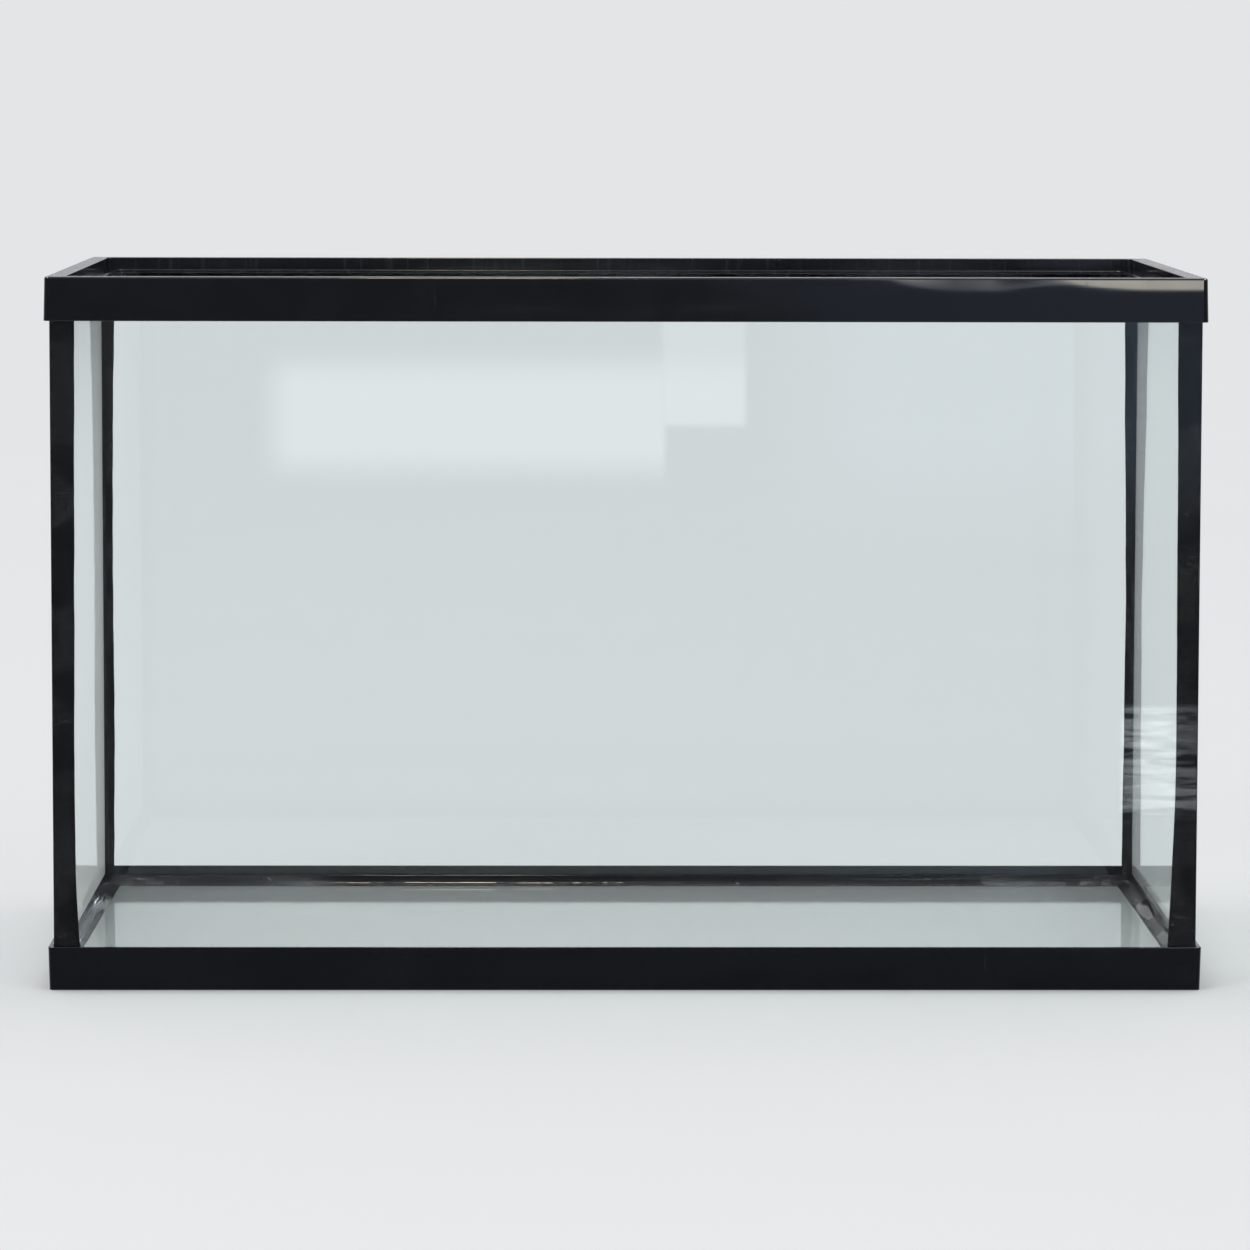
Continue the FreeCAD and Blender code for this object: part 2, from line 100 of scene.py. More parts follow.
class Nodes:
    """A short way to write a material's or the world's node tree."""

    def __init__(self, owner):
        owner.use_nodes = True
        self.tree = owner.node_tree
        self.tree.nodes.clear()

    def add(self, kind, **settings):
        node = self.tree.nodes.new(kind)
        for name, setting in settings.items():
            setattr(node, name, setting)
        return node

    def link(self, output, target):
        self.tree.links.new(output, target)

    def math(self, operation, first, second=None, clamp=False):
        node = self.add("ShaderNodeMath", operation=operation, use_clamp=clamp)
        for socket, value in zip(node.inputs, (first, second)):
            if isinstance(value, (int, float)):
                socket.default_value = value
            elif value is not None:
                self.link(value, socket)
        return node.outputs[0]

    def position(self):
        """Object coordinates, which are metres in the tank's own frame."""
        return self.add("ShaderNodeTexCoord").outputs["Object"]

    def axes(self, vector):
        node = self.add("ShaderNodeSeparateXYZ")
        self.link(vector, node.inputs[0])
        return node.outputs["X"], node.outputs["Y"], node.outputs["Z"]

    def stretched(self, vector, scale):
        node = self.add("ShaderNodeMapping", vector_type="POINT")
        node.inputs["Scale"].default_value = scale
        self.link(vector, node.inputs["Vector"])
        return node.outputs[0]

    def noise(self, vector, scale, detail=3.0, roughness=0.55, distortion=0.0):
        node = self.add("ShaderNodeTexNoise")
        node.inputs["Scale"].default_value = scale
        node.inputs["Detail"].default_value = detail
        node.inputs["Roughness"].default_value = roughness
        node.inputs["Distortion"].default_value = distortion
        self.link(vector, node.inputs["Vector"])
        return node.outputs["Fac"]

    def spread(self, value, low, high, to_low=0.0, to_high=1.0):
        """Map a value's range to another one, clamped."""
        node = self.add("ShaderNodeMapRange", clamp=True)
        for name, number in (
            ("From Min", low), ("From Max", high), ("To Min", to_low), ("To Max", to_high),
        ):
            node.inputs[name].default_value = number
        self.link(value, node.inputs["Value"])
        return node.outputs[0]

    def smooth(self, value, low, high):
        """0 at low, 1 at high, eased at both ends."""
        node = self.add("ShaderNodeMapRange", interpolation_type="SMOOTHSTEP")
        node.inputs["From Min"].default_value = low
        node.inputs["From Max"].default_value = high
        self.link(value, node.inputs["Value"])
        return node.outputs[0]

    def blend(self, factor, first, second):
        """Mix two colours, or two values given as sockets."""
        node = self.add("ShaderNodeMix", data_type="RGBA")
        self.link(factor, node.inputs["Factor"])
        for socket, value in ((node.inputs[6], first), (node.inputs[7], second)):
            if isinstance(value, tuple):
                socket.default_value = (*value, 1.0)
            else:
                self.link(value, socket)
        return node.outputs[2]

    def bump(self, height, strength, distance, below=None):
        node = self.add("ShaderNodeBump")
        node.inputs["Strength"].default_value = strength
        node.inputs["Distance"].default_value = distance
        self.link(height, node.inputs["Height"])
        if below is not None:
            self.link(below, node.inputs["Normal"])
        return node.outputs[0]

    def principled(self, **values):
        shader = self.add("ShaderNodeBsdfPrincipled")
        for name, value in values.items():
            socket = shader.inputs[name.replace("_", " ")]
            if isinstance(value, (int, float)):
                socket.default_value = value
            elif isinstance(value, tuple):
                socket.default_value = (*value, 1.0)
            else:
                self.link(value, socket)
        return shader.outputs[0]

    def either(self, factor, first, second):
        """Mix two shaders."""
        node = self.add("ShaderNodeMixShader")
        self.link(factor, node.inputs["Fac"])
        self.link(first, node.inputs[1])
        self.link(second, node.inputs[2])
        return node.outputs[0]

    def finish(self, surface, volume=None):
        output = self.add("ShaderNodeOutputMaterial")
        self.link(surface, output.inputs["Surface"])
        if volume is not None:
            self.link(volume, output.inputs["Volume"])


# ---------------------------------------------------------------- materials


def glass_material(name, dust):
    """Clear float glass: faintly green in its depth, with wiping marks that only dull its gloss.

    dust is how strongly a dry film shows where the glass is seen at a low angle. Lamps shine
    straight through the glass, so the inside is lit as it is in life.
    """
    material = bpy.data.materials.new(name)
    nodes = Nodes(material)
    place = nodes.position()
    wiped = nodes.noise(nodes.stretched(place, (1.0, 1.0, 2.6)), 14.0, detail=5.0, distortion=0.8)
    specks = nodes.noise(place, 900.0, detail=2.0)
    haze = nodes.math(
        "ADD", nodes.spread(wiped, 0.45, 0.75, 0.0, 0.02), nodes.spread(specks, 0.74, 0.8, 0, 0.02)
    )
    surface = nodes.principled(
        Base_Color=(1.0, 1.0, 1.0), Roughness=haze, IOR=1.52, Transmission_Weight=1.0,
        Sheen_Weight=dust, Sheen_Roughness=0.35,
    )
    clear = nodes.add("ShaderNodeBsdfTransparent")
    clear.inputs["Color"].default_value = (0.95, 0.95, 0.95, 1.0)
    rays = nodes.add("ShaderNodeLightPath")
    either = nodes.either(rays.outputs["Is Shadow Ray"], surface, clear.outputs[0])
    absorption = nodes.add("ShaderNodeVolumeAbsorption")
    absorption.inputs["Color"].default_value = (0.0, 0.79, 0.72, 1.0)
    absorption.inputs["Density"].default_value = 12.0
    nodes.finish(either, absorption.outputs[0])
    return material


def frame_colour(nodes, place, smudges, scuffs, inside_rim, rim_top):
    """Black plastic, smudged and scuffed, lighter in bluish streaks inside the rim, and lighter on
    top of the rim: a painted reflection of the pale room, over a little dust.
    """
    scuffed = nodes.spread(scuffs, 0.68, 0.76)
    dust = nodes.spread(nodes.noise(place, 3400.0, detail=1.0), 0.76, 0.82)
    colour = nodes.blend(
        nodes.spread(smudges, 0.35, 0.75), (0.0062, 0.0066, 0.0082), (0.0085, 0.009, 0.0105)
    )
    # lighter, bluish streaks on the rim's inner faces, following the scuffs
    lighter_inside_rim = nodes.math("MULTIPLY", inside_rim, nodes.spread(scuffs, 0.54, 0.8, 0.12, 0.6))
    for factor, tint in (
        (nodes.math("MULTIPLY", scuffed, 0.3), (0.035, 0.036, 0.038)),
        (lighter_inside_rim, (0.06, 0.061, 0.07)),
        (nodes.math("MULTIPLY", dust, 0.3), (0.09, 0.09, 0.09)),
        # painted reflection: the rim's flat top is lighter, as if it mirrored the pale room at a
        # low angle, over a little real dust
        (nodes.math("MULTIPLY", rim_top, 0.8), (0.125, 0.122, 0.134)),
    ):
        colour = nodes.blend(factor, colour, tint)
    return colour


def frame_relief(nodes, place, outside):
    """The moulding's own shape: slow waves, a face that curls back below the rim, and fine lines.

    outside is 1 on the outer faces, which are the ones that curl. They curl most near the right
    end, and swell a little before it.
    """
    x, y, z = nodes.axes(place)
    on_long_side = nodes.math(
        "GREATER_THAN", nodes.math("ABSOLUTE", y), WIDTH / 2 - RIM_MOULDING
    )
    lines_along_x = nodes.noise(nodes.stretched(place, (6.0, 1500.0, 1500.0)), 1.0, detail=3.0)
    lines_along_y = nodes.noise(nodes.stretched(place, (1500.0, 6.0, 1500.0)), 1.0, detail=3.0)
    lines = nodes.blend(on_long_side, lines_along_y, lines_along_x)
    waves = nodes.noise(nodes.stretched(place, (7.0, 7.0, 40.0)), 1.0, detail=1.0)
    grain = nodes.noise(place, 2200.0, detail=2.0)

    near_rim = nodes.math(
        "MULTIPLY", nodes.spread(z, tank_high.z - CURL, tank_high.z), outside
    )
    amount = nodes.spread(nodes.smooth(x, 0.17, 0.23), 0.0, 1.0, 0.2, 0.82)
    curl = nodes.math("MULTIPLY", nodes.math("POWER", near_rim, 2.0), amount)
    bulge = nodes.math("MULTIPLY", nodes.smooth(x, 0.095, 0.145), nodes.smooth(x, 0.2, 0.16))
    swollen = nodes.math("MULTIPLY", nodes.math("POWER", near_rim, 1.4), bulge)
    bent = nodes.math("ADD", curl, nodes.math("MULTIPLY", swollen, 0.72))
    bowed = nodes.math("SUBTRACT", nodes.math("MULTIPLY", waves, 1.1), bent)

    relief = nodes.bump(bowed, 1.0, MM)
    relief = nodes.bump(lines, 0.4, 0.008 * MM, relief)
    return nodes.bump(grain, 0.15, 0.003 * MM, relief)


def frame_material():
    """Semi-gloss black moulding."""
    material = bpy.data.materials.new("black_moulding")
    nodes = Nodes(material)
    place = nodes.position()
    height = nodes.axes(place)[2]
    true_normal = nodes.add("ShaderNodeNewGeometry").outputs["True Normal"]
    outwards = nodes.add("ShaderNodeVectorMath", operation="DOT_PRODUCT")
    nodes.link(nodes.stretched(place, (1.0, 1.0, 0.0)), outwards.inputs[0])
    nodes.link(true_normal, outwards.inputs[1])
    outside = nodes.math("GREATER_THAN", outwards.outputs["Value"], 0.02)
    inside_rim = nodes.math(
        "MULTIPLY",
        nodes.math("LESS_THAN", outwards.outputs["Value"], -0.02),
        nodes.math("GREATER_THAN", height, RIM_BOTTOM),
    )
    # the rim's flat top, which frame_colour lightens with a painted reflection
    rim_top = nodes.math(
        "MULTIPLY",
        nodes.math("GREATER_THAN", height, tank_high.z - RIM_SKIN),
        nodes.spread(nodes.axes(true_normal)[2], 0.8, 1.0),
    )
    smudges = nodes.noise(place, 26.0, detail=5.0, distortion=0.6)
    scuffs = nodes.noise(nodes.stretched(place, (420.0, 420.0, 24.0)), 1.0, detail=4.0)
    scratched = nodes.math("ADD", nodes.spread(scuffs, 0.68, 0.76), rim_top, clamp=True)
    roughness = nodes.math(
        "ADD", nodes.spread(smudges, 0.3, 0.75, 0.07, 0.12), nodes.math("MULTIPLY", scratched, 0.15)
    )
    nodes.finish(
        nodes.principled(
            Base_Color=frame_colour(nodes, place, smudges, scuffs, inside_rim, rim_top),
            Roughness=roughness,
            Normal=frame_relief(nodes, place, outside),
            Specular_IOR_Level=0.5,
        )
    )
    return material


def silicone_material(name, stroke, depth, pucker):
    """Cured black silicone: glossy, drawn along its run, puckered near the tank's ends and stained.

    stroke scales the marks that a finger left: small along the run and large across it. depth and
    pucker tell how deep these marks and the puckers are, in metres.
    """
    material = bpy.data.materials.new(name)
    nodes = Nodes(material)
    place = nodes.position()
    drag = nodes.noise(place, 60.0, detail=3.0, distortion=0.5)
    strokes = nodes.noise(nodes.stretched(place, stroke), 1.0, detail=4.0)
    pits = nodes.noise(place, 1100.0, detail=2.0)
    patches = nodes.spread(nodes.noise(place, 38.0, detail=2.0), 0.66, 0.74)
    flecks = nodes.spread(nodes.noise(place, 420.0, detail=4.0), 0.56, 0.66)
    residue = nodes.math("MULTIPLY", patches, flecks)
    black = nodes.blend(
        nodes.spread(drag, 0.35, 0.7), (0.0035, 0.0035, 0.004), (0.008, 0.008, 0.0085)
    )
    colour = nodes.blend(nodes.math("MULTIPLY", residue, 0.75), black, (0.26, 0.27, 0.28))
    roughness = nodes.math(
        "ADD", nodes.spread(drag, 0.3, 0.72, 0.04, 0.13), nodes.math("MULTIPLY", residue, 0.4)
    )

    near_end = nodes.smooth(nodes.math("ABSOLUTE", nodes.axes(place)[0]), 0.13, 0.2)
    wrinkled = nodes.math(
        "MULTIPLY", nodes.spread(nodes.noise(place, 24.0, detail=1.0), 0.43, 0.53), near_end
    )
    wrinkles = nodes.math("SUBTRACT", nodes.noise(place, 430.0, detail=3.0, distortion=1.5), 0.5)
    relief = nodes.bump(strokes, 0.8, depth)
    relief = nodes.bump(nodes.math("MULTIPLY", wrinkled, wrinkles), 1.0, pucker, relief)
    relief = nodes.bump(pits, 0.15, 0.01 * MM, relief)
    nodes.finish(nodes.principled(Base_Color=colour, Roughness=roughness, Normal=relief, IOR=1.41))
    return material


def reflected(nodes):
    """1 for what is seen mirrored in the tank, 0 elsewhere."""
    rays = nodes.add("ShaderNodeLightPath")
    mirrored = nodes.math("GREATER_THAN", rays.outputs["Glossy Depth"], 0.5)
    lit = nodes.math("GREATER_THAN", rays.outputs["Diffuse Depth"], 0.5)
    return nodes.math("SUBTRACT", mirrored, lit, clamp=True)


def floor_material():
    """Pale matt studio paper. Reflections don't show it, but the room around it."""
    material = bpy.data.materials.new("studio_paper")
    nodes = Nodes(material)
    tone = nodes.noise(nodes.position(), 3.0, detail=4.0)
    colour = nodes.blend(tone, (0.612, 0.616, 0.62), (0.627, 0.631, 0.635))
    paper = nodes.principled(Base_Color=colour, Roughness=0.9, Specular_IOR_Level=0.0)
    unseen = nodes.add("ShaderNodeBsdfTransparent")
    nodes.finish(nodes.either(reflected(nodes), paper, unseen.outputs[0]))
    return material


def dress(node_name, material):
    """Give a CAD node its material."""
    item = frame["nodes"][node_name]
    if not item.material_slots:
        item.data.materials.append(material)
    for slot in item.material_slots:
        slot.material = material


# ---------------------------------------------------------------- silicone pieces


def wander(rng, wavelength, amount):
    """A smooth random walk along a run, as a sum of waves. Every call draws the same count."""
    waves = [
        (wavelength * rng.uniform(0.35, 1.8), rng.uniform(0, math.tau), rng.uniform(0.3, 1.0))
        for _ in range(6)
    ]
    total = sum(weight for _, _, weight in waves)

    def height(distance):
        return amount * sum(
            weight * math.sin(math.tau * distance / period + phase)
            for period, phase, weight in waves
        ) / total

    return height


def lofted(name, rings, material):
    """A closed mesh through rings of points, smooth along its length."""
    mesh = bpy.data.meshes.new(name)
    count = len(rings[0])
    faces = []
    for row in range(len(rings) - 1):
        for column in range(count):
            following = (column + 1) % count
            near, far = row * count, (row + 1) * count
            faces.append((near + column, near + following, far + following, far + column))
    faces.append(tuple(reversed(range(count))))
    faces.append(tuple(range((len(rings) - 1) * count, len(rings) * count)))
    mesh.from_pydata([point for ring in rings for point in ring], [], faces)
    shaped = bmesh.new()
    shaped.from_mesh(mesh)
    bmesh.ops.recalc_face_normals(shaped, faces=shaped.faces)
    shaped.to_mesh(mesh)
    shaped.free()
    mesh.shade_smooth()
    mesh.set_sharp_from_angle(angle=math.radians(48))
    mesh.materials.append(material)
    piece = bpy.data.objects.new(name, mesh)
    bpy.context.scene.collection.objects.link(piece)
    return piece


def stand_for(piece, node_name):
    """Put a silicone piece in a CAD node's place."""
    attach(piece, "root")
    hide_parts(node_name)


def through(stations, length):
    """A smooth curve through values set at equal steps along a run."""
    spans = len(stations) - 1

    def value(distance):
        place = min(max(distance / length, 0.0), 1.0) * spans
        span = min(int(place), spans - 1)
        before, start, end, after = (
            stations[min(max(span + step, 0), spans)] for step in (-1, 0, 1, 2)
        )
        part = place - span
        return 0.5 * (
            2 * start
            + (end - before) * part
            + (2 * before - 5 * start + 4 * end - after) * part**2
            + (3 * start - before - 3 * end + after) * part**3
        )

    return value


def bead_section(first_leg, second_leg, hollow, swell):
    """Points of a tooled fillet, from the end of its first leg to the end of its second.

    swell tells how far the face stands out at a part of the way across it.
    """
    points = [(first_leg, -SINK), (first_leg, 0.4 * LIP), (first_leg - 0.8 * LIP, LIP)]
    start = Vector((first_leg - 2.2 * LIP, 1.15 * LIP))
    end = Vector((1.15 * LIP, second_leg - 2.2 * LIP))
    middle = Vector((hollow * first_leg, hollow * second_leg))
    steps = 18
    for step in range(steps + 1):
        part = step / steps
        point = (1 - part) ** 2 * start + 2 * part * (1 - part) * middle + part**2 * end
        out = swell(part) * math.sin(math.pi * part) ** 0.5
        points.append((point.x + out, point.y + out))
    points += [(LIP, second_leg - 0.8 * LIP), (0.4 * LIP, second_leg), (-SINK, second_leg)]
    points.append((-SINK, -SINK))
    return points


def scatter_bubbles(rng, count, length, reach):
    """Blisters near the ends of a run: place along it, place across it, radius and height.

    A negative height is a burst one, of which only the ring is left.
    """
    return [
        (
            rng.choice((0, length)) + rng.choice((-1, 1)) * reach * rng.random() ** 1.5,
            rng.uniform(0.25, 0.8),
            rng.uniform(0.9, 2.2) * MM,
            rng.choice((-1, 1)) * rng.uniform(0.25, 0.7) * MM,
        )
        for _ in range(count)
    ]


def make_bead(
    node_name, start, along, length, sides, legs, seed, material, bubbles=0, foot=0.0, ridge=0.0
):
    """A hand-tooled fillet along a run.

    start is the corner line's first point and sides the two directions along the glass. legs
    holds the widths along each side, set at equal steps of the run. foot is how much wider the
    run's first end is, where it meets other beads. ridge is the height of the lengthwise ridges
    that the tool left.
    """
    rng = random.Random(seed)
    widths = [through(stations, length) for stations in legs]
    unevenness = MM if along.z else 0.35 * MM  # a bead on the floor is easier to draw evenly
    wanders = [wander(rng, 60 * MM, 0.16 * MM) for _ in legs]
    jitters = [wander(rng, 9 * MM, 0.05 * unevenness) for _ in legs]
    ripple = wander(rng, 14 * MM, 0.07 * unevenness)
    hollow = wander(rng, 80 * MM, 0.07)
    blisters = scatter_bubbles(rng, bubbles, length, 34 * MM)
    drift = wander(rng, 45 * MM, 2.5)
    rings = []
    count = round(length / BEAD_STEP)
    for row in range(count + 1):
        distance = length * row / count
        wider = foot * math.exp(-distance / (11 * MM))
        first, second = (
            MM * width(distance) + slow(distance) + quick(distance) + wider
            for width, slow, quick in zip(widths, wanders, jitters)
        )
        girth = math.hypot(first, second)

        def swell(part):
            out = ripple(distance) + ridge * math.sin(math.tau * 3.5 * part + drift(distance))
            for where, across, radius, height in blisters:
                apart = ((distance - where) ** 2 + ((part - across) * girth) ** 2) / radius**2
                if apart < 1:
                    burst = 6.7 * apart if height < 0 else 1.0
                    out += abs(height) * burst * (1 - apart) ** 2
            return out

        section = bead_section(first, second, 0.2 + hollow(distance), swell)
        rings.append(
            [start + along * distance + sides[0] * a + sides[1] * b for a, b in section]
        )
    stand_for(lofted(f"{node_name}_bead", rings, material), node_name)


def make_corner_beads(material):
    """Four upright fillets, from the floor up to the rim. Widths are in millimetres."""
    for seed, (side, end, face_widths, foot) in enumerate(
        (
            ("front", "left", (7.2, 6.4, 6.8, 7.2, 7.7), 3.0 * MM),
            ("front", "right", (9.2, 6.5, 6.5, 6.9, 7.4), 0.6 * MM),
            ("back", "left", (4.1, 4.8, 4.5, 4.9, 6.2), 0.0),
            ("back", "right", (4.6, 4.2, 4.0, 5.1, 5.9), 0.2 * MM),
        ),
        start=40,
    ):
        x, inward_x = (INNER_LEFT, 1) if end == "left" else (INNER_RIGHT, -1)
        y, inward_y = (INNER_FRONT, 1) if side == "front" else (INNER_BACK, -1)
        make_bead(
            f"corner_fillet_{side}_{end}",
            Vector((x, y, FLOOR_TOP)), UP, BEAD_TOP - FLOOR_TOP,
            (Vector((inward_x, 0, 0)), Vector((0, inward_y, 0))),
            (face_widths, (5.2, 4.6, 4.4, 4.6, 5.2)), seed, material, bubbles=3, foot=foot,
        )


def make_base_beads(along_x, along_y):
    """Four fillets round the floor, blistered where the runs met in the corners."""
    inner_length, inner_width = INNER_RIGHT - INNER_LEFT, INNER_BACK - INNER_FRONT
    right, back = Vector((1, 0, 0)), Vector((0, 1, 0))
    runs = (
        ("front", INNER_LEFT, INNER_FRONT, right, back, (3.4, 3.0, 3.4), 5.0, 6, 0.0),
        ("back", INNER_LEFT, INNER_BACK, right, -back, (3.4, 3.0, 3.3), 5.0, 34, 0.0),
        ("left", INNER_LEFT, INNER_FRONT, back, right, (5.0, 6.1, 7.0), 6.4, 10, 0.07 * MM),
        ("right", INNER_RIGHT, INNER_FRONT, back, -right, (6.2, 6.3, 6.8), 6.4, 12, 0.0),
    )
    for seed, (side, x, y, along, inwards, widths, rise, bubbles, ridge) in enumerate(
        runs, start=60
    ):
        length, material = (inner_length, along_x) if along.x else (inner_width, along_y)
        make_bead(
            f"base_fillet_{side}", Vector((x, y, FLOOR_TOP)), along, length, (inwards, UP),
            (widths, (rise, rise, rise)), seed, material, bubbles=bubbles, ridge=ridge,
        )


def make_corner_bonds(material):
    """Silicone in the four upright joints, squeezed out unevenly at the outer edge."""
    height = front_high.z - front_low.z
    for number, (side, end) in enumerate(
        (side, end) for side in ("front", "back") for end in ("left", "right")
    ):
        name = f"corner_bond_{side}_{end}"
        low, high = node_box(name)
        outwards = -1 if end == "left" else 1
        outer, inner = (low.x, high.x) if end == "left" else (high.x, low.x)
        rng = random.Random(80 + number)
        squeezed = wander(rng, 30 * MM, 0.22 * MM)
        rings = []
        count = round(height / SEAM_STEP)
        for row in range(count + 1):
            distance = height * row / count
            rim = outer + outwards * (squeezed(distance) - SEAM_SETBACK)
            round_rim = rim + outwards * SEAM_ROUND
            z = low.z + distance
            depth = high.y - low.y
            rings.append(
                [
                    Vector((inner, low.y - SINK, z)),
                    Vector((rim, low.y - SINK, z)),
                    Vector((round_rim, low.y + 0.3 * depth, z)),
                    Vector((round_rim, low.y + 0.7 * depth, z)),
                    Vector((rim, high.y + SINK, z)),
                    Vector((inner, high.y + SINK, z)),
                ]
            )
        stand_for(lofted(f"{name}_seam", rings, material), name)


# ---------------------------------------------------------------- stage, light and camera


def make_stage():
    """A wide pale floor, round so that it looks the same from every side."""
    shaped = bmesh.new()
    bmesh.ops.create_circle(shaped, cap_ends=True, segments=96, radius=60.0)
    mesh = bpy.data.meshes.new("studio_floor")
    shaped.to_mesh(mesh)
    shaped.free()
    mesh.materials.append(floor_material())
    floor = bpy.data.objects.new("studio_floor", mesh)
    floor.location = (0, 0, tank_low.z - 0.05 * MM)
    bpy.context.scene.collection.objects.link(floor)


def soft_window(nodes, across, up, left, right, bottom, top, blur):
    """1 inside a rectangle of the room, seen from the tank, with soft edges."""
    sides = nodes.math(
        "MULTIPLY",
        nodes.smooth(across, left - blur, left + blur),
        nodes.smooth(across, right + blur, right - blur),
    )
    ends = nodes.math(
        "MULTIPLY",
        nodes.smooth(up, bottom - blur, bottom + blur),
        nodes.smooth(up, top + blur, top - blur),
    )
    return nodes.math("MULTIPLY", sides, ends)


def slopes(nodes, sideways, upwards, depth):
    """How far a direction goes to the side and up, for each unit of its depth."""
    safe = nodes.math("MAXIMUM", depth, 0.001)
    return nodes.math("DIVIDE", sideways, safe), nodes.math("DIVIDE", upwards, safe)


def plain_surroundings(nodes, z):
    """Pale at the horizon, as the paper is there, and a little brighter above."""
    low = nodes.blend(nodes.smooth(z, 0.0, 0.14), (0.769, 0.785, 0.794), (0.828, 0.841, 0.849))
    return nodes.blend(nodes.smooth(z, 0.08, 0.6), low, (0.89, 0.905, 0.915))


def hanging_sheet(nodes, direction, room, across, up):
    """Add a pale rippled sheet, low on the right."""
    ripples = nodes.noise(
        nodes.stretched(direction, (110.0, 110.0, 900.0)), 1.0, detail=3.0, distortion=0.5
    )
    cloth = nodes.blend(nodes.spread(ripples, 0.36, 0.66), (0.15, 0.165, 0.2), (2.3, 2.45, 2.6))
    hem = nodes.math("ADD", up, nodes.math("MULTIPLY", ripples, 0.002))
    outline = soft_window(nodes, across, hem, 0.0995, 0.2, -0.1288, -0.1102, 0.0006)
    return nodes.blend(outline, room, cloth)


def shop_window(nodes, room, across, up):
    """Add a wide window with a taller, dimmer pane at its right end."""
    tall = soft_window(nodes, across, up, 0.0190, 0.0333, -0.062, -0.035, 0.0006)
    room = nodes.blend(tall, room, (0.46, 0.48, 0.48))
    left_part = soft_window(nodes, across, up, -0.2, 0.0194, -1.0, 1.0, 0.0008)
    right_part = soft_window(nodes, across, up, 0.0190, 0.0333, -0.062, 1.0, 0.0006)
    wide = nodes.math(
        "MULTIPLY",
        soft_window(nodes, across, up, -0.0484, 0.2, -0.0695, -0.0515, 0.004),
        nodes.math("MAXIMUM", left_part, right_part),
    )
    return nodes.blend(wide, room, (0.84, 0.88, 0.93))


def room_ahead(nodes, direction, x, y, z):
    """A dim room in front of the tank, cool on the right, with bright windows high up there."""
    across, up = slopes(nodes, x, z, nodes.math("MULTIPLY", y, -1.0))
    room = nodes.blend(
        nodes.noise(direction, 5.0, detail=2.0), (0.03, 0.034, 0.042), (0.13, 0.135, 0.15)
    )
    for left, right, bottom, top, blur, tint in (
        (0.045, 0.35, -0.075, 0.25, 0.014, (0.24, 0.30, 0.42)),
        (0.068, 0.2, 0.175, 0.5, 0.015, (1.9, 2.2, 2.5)),
        (0.103, 0.15, 0.205, 0.5, 0.01, (10.0, 9.5, 8.4)),
    ):
        patch = soft_window(nodes, across, up, left, right, bottom, top, blur)
        room = nodes.blend(patch, room, tint)
    room = hanging_sheet(nodes, direction, room, across, up)
    return shop_window(nodes, room, across, up)


def wall_behind(nodes, x, y, z):
    """A pale wall behind the tank, brighter low on the right, with a bright doorway there."""
    across, up = slopes(nodes, x, z, y)
    low = nodes.blend(nodes.smooth(across, -0.04, 0.05), (0.72, 0.725, 0.735), (0.84, 0.845, 0.87))
    wall = nodes.blend(nodes.smooth(z, 0.0, 0.13), low, (0.57, 0.56, 0.57))
    doorway = soft_window(nodes, across, up, 0.125, 0.3, 0.075, 0.117, 0.008)
    return nodes.blend(doorway, wall, (4.2, 4.7, 5.4))


def mirrored_room(nodes, direction, x, y, z):
    """All that the tank mirrors, with a pale floor and ceiling and two lamp panels overhead."""
    room = room_ahead(nodes, direction, x, y, z)
    room = nodes.blend(nodes.smooth(y, -0.2, 0.6), room, wall_behind(nodes, x, y, z))
    room = nodes.blend(nodes.smooth(z, -0.28, -0.45), room, (0.7, 0.7, 0.7))
    room = nodes.blend(nodes.smooth(z, 0.3, 0.8), room, (0.8, 0.81, 0.83))
    sideways, ahead = slopes(nodes, x, y, z)
    panels = soft_window(
        nodes, nodes.math("ABSOLUTE", sideways), ahead, 0.3, 0.75, -0.8, 0.5, 0.03
    )
    return nodes.blend(panels, room, (12.0, 12.5, 13.0))


def make_world():
    """Soft even surroundings, and the room that shows only in the tank's reflections."""
    world = bpy.data.worlds.new("studio")
    bpy.context.scene.world = world
    world.cycles.sampling_method = "NONE"
    nodes = Nodes(world)
    direction = nodes.add("ShaderNodeTexCoord").outputs["Generated"]
    x, y, z = nodes.axes(direction)
    light = nodes.add("ShaderNodeBackground")
    nodes.link(
        nodes.blend(
            reflected(nodes), plain_surroundings(nodes, z), mirrored_room(nodes, direction, x, y, z)
        ),
        light.inputs["Color"],
    )
    output = nodes.add("ShaderNodeOutputWorld")
    nodes.link(light.outputs[0], output.inputs["Surface"])


def add_area_light(name, place, target, size, radiance):
    """A rectangular soft light, as bright as radiance when it is looked at, and itself unseen."""
    width, height = size
    lamp = bpy.data.lights.new(name, "AREA")
    lamp.shape = "RECTANGLE"
    lamp.size, lamp.size_y = width, height
    lamp.energy = radiance * math.pi * width * height
    item = bpy.data.objects.new(name, lamp)
    item.location = place
    item.rotation_euler = (Vector(target) - Vector(place)).to_track_quat("-Z", "Y").to_euler()
    item.visible_camera = False
    item.visible_transmission = False
    bpy.context.scene.collection.objects.link(item)
    return item


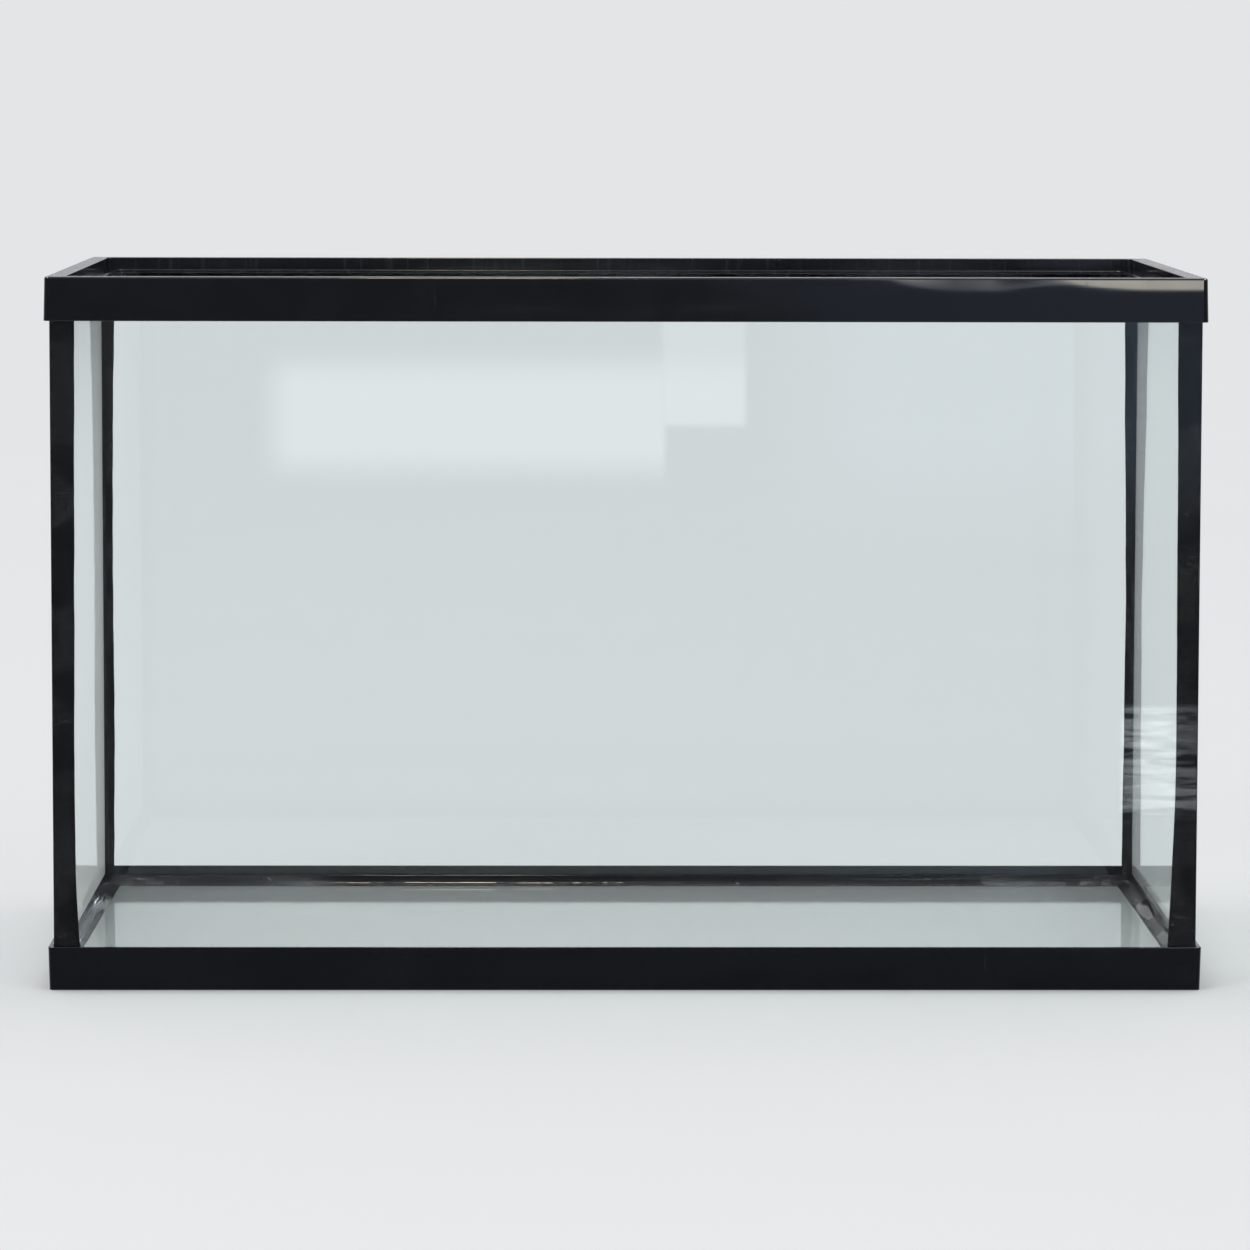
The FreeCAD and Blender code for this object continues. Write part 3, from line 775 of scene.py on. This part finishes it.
def make_lights():
    """A wide overhead light, a softbox at the left, and a small warm lamp for a glint on a seam."""
    sky = bpy.data.lights.new("overhead", "SUN")
    sky.energy = 1.15
    sky.angle = math.radians(50)
    overhead = bpy.data.objects.new("overhead", sky)
    overhead.rotation_euler = (math.radians(-12), 0, 0)
    overhead.visible_glossy = False
    bpy.context.scene.collection.objects.link(overhead)
    add_area_light("left_softbox", (-1.6, -1.9, 2.2), (0, 0, 0.1), (0.7, 0.7), 6.0)
    strip = add_area_light(
        "warm_strip", (-0.1285, -1.87, 3.2), (-0.1285, 0.12, 0), (0.17, 0.5), 45.0
    )
    strip.data.color = (1.0, 0.9, 0.66)
    strip.visible_diffuse = False


def make_camera():
    """Slightly left of the middle and above the rim, far off with a long lens."""
    lens = bpy.data.cameras.new("camera")
    lens.sensor_width = 36.0
    lens.lens = 165.87
    lens.clip_end = 200.0
    camera = bpy.data.objects.new("camera", lens)
    turn, tilt, roll = math.radians(-0.718), math.radians(5.537), math.radians(0.117)
    facing = Euler((math.pi / 2 - tilt, 0, turn)).to_matrix().to_4x4()
    aside, away, above = -0.0629 * LENGTH, 4.9398 * LENGTH, 0.7972 * LENGTH
    place = Vector((aside, tank_low.y - away, tank_low.z + above))
    camera.matrix_world = Matrix.Translation(place) @ facing @ Matrix.Rotation(roll, 4, "Z")
    bpy.context.scene.collection.objects.link(camera)
    bpy.context.scene.camera = camera


# ---------------------------------------------------------------- the tank


def make_tank():
    """Give every CAD node its material, and add the silicone that shows."""
    along_x = silicone_material(
        "silicone_along_length", (14.0, 1300.0, 1300.0), 0.015 * MM, 3.2 * MM
    )
    along_y = silicone_material(
        "silicone_along_width", (1300.0, 14.0, 1300.0), 0.08 * MM, 0.4 * MM
    )
    upright = silicone_material("silicone_upright", (1300.0, 1300.0, 14.0), 0.15 * MM, 0.8 * MM)
    by_slot = {
        "glass": glass_material("float_glass", 0.0),
        "frame_plastic": frame_material(),
        "silicone": along_x,
    }
    for entry in frame["record"]["subparts"]:
        dress(entry["node"], by_slot[entry["material_slot"]])
    dress("floor_pane", glass_material("dusty_float_glass", 1.0))
    dress("left_end_pane", glass_material("filmed_float_glass", 0.9))
    dress("right_end_pane", glass_material("wiped_float_glass", 0.35))
    make_corner_beads(upright)
    make_base_beads(along_x, along_y)
    make_corner_bonds(upright)


make_tank()
make_stage()
make_world()
make_lights()
make_camera()
bpy.context.scene.view_settings.view_transform = "Standard"
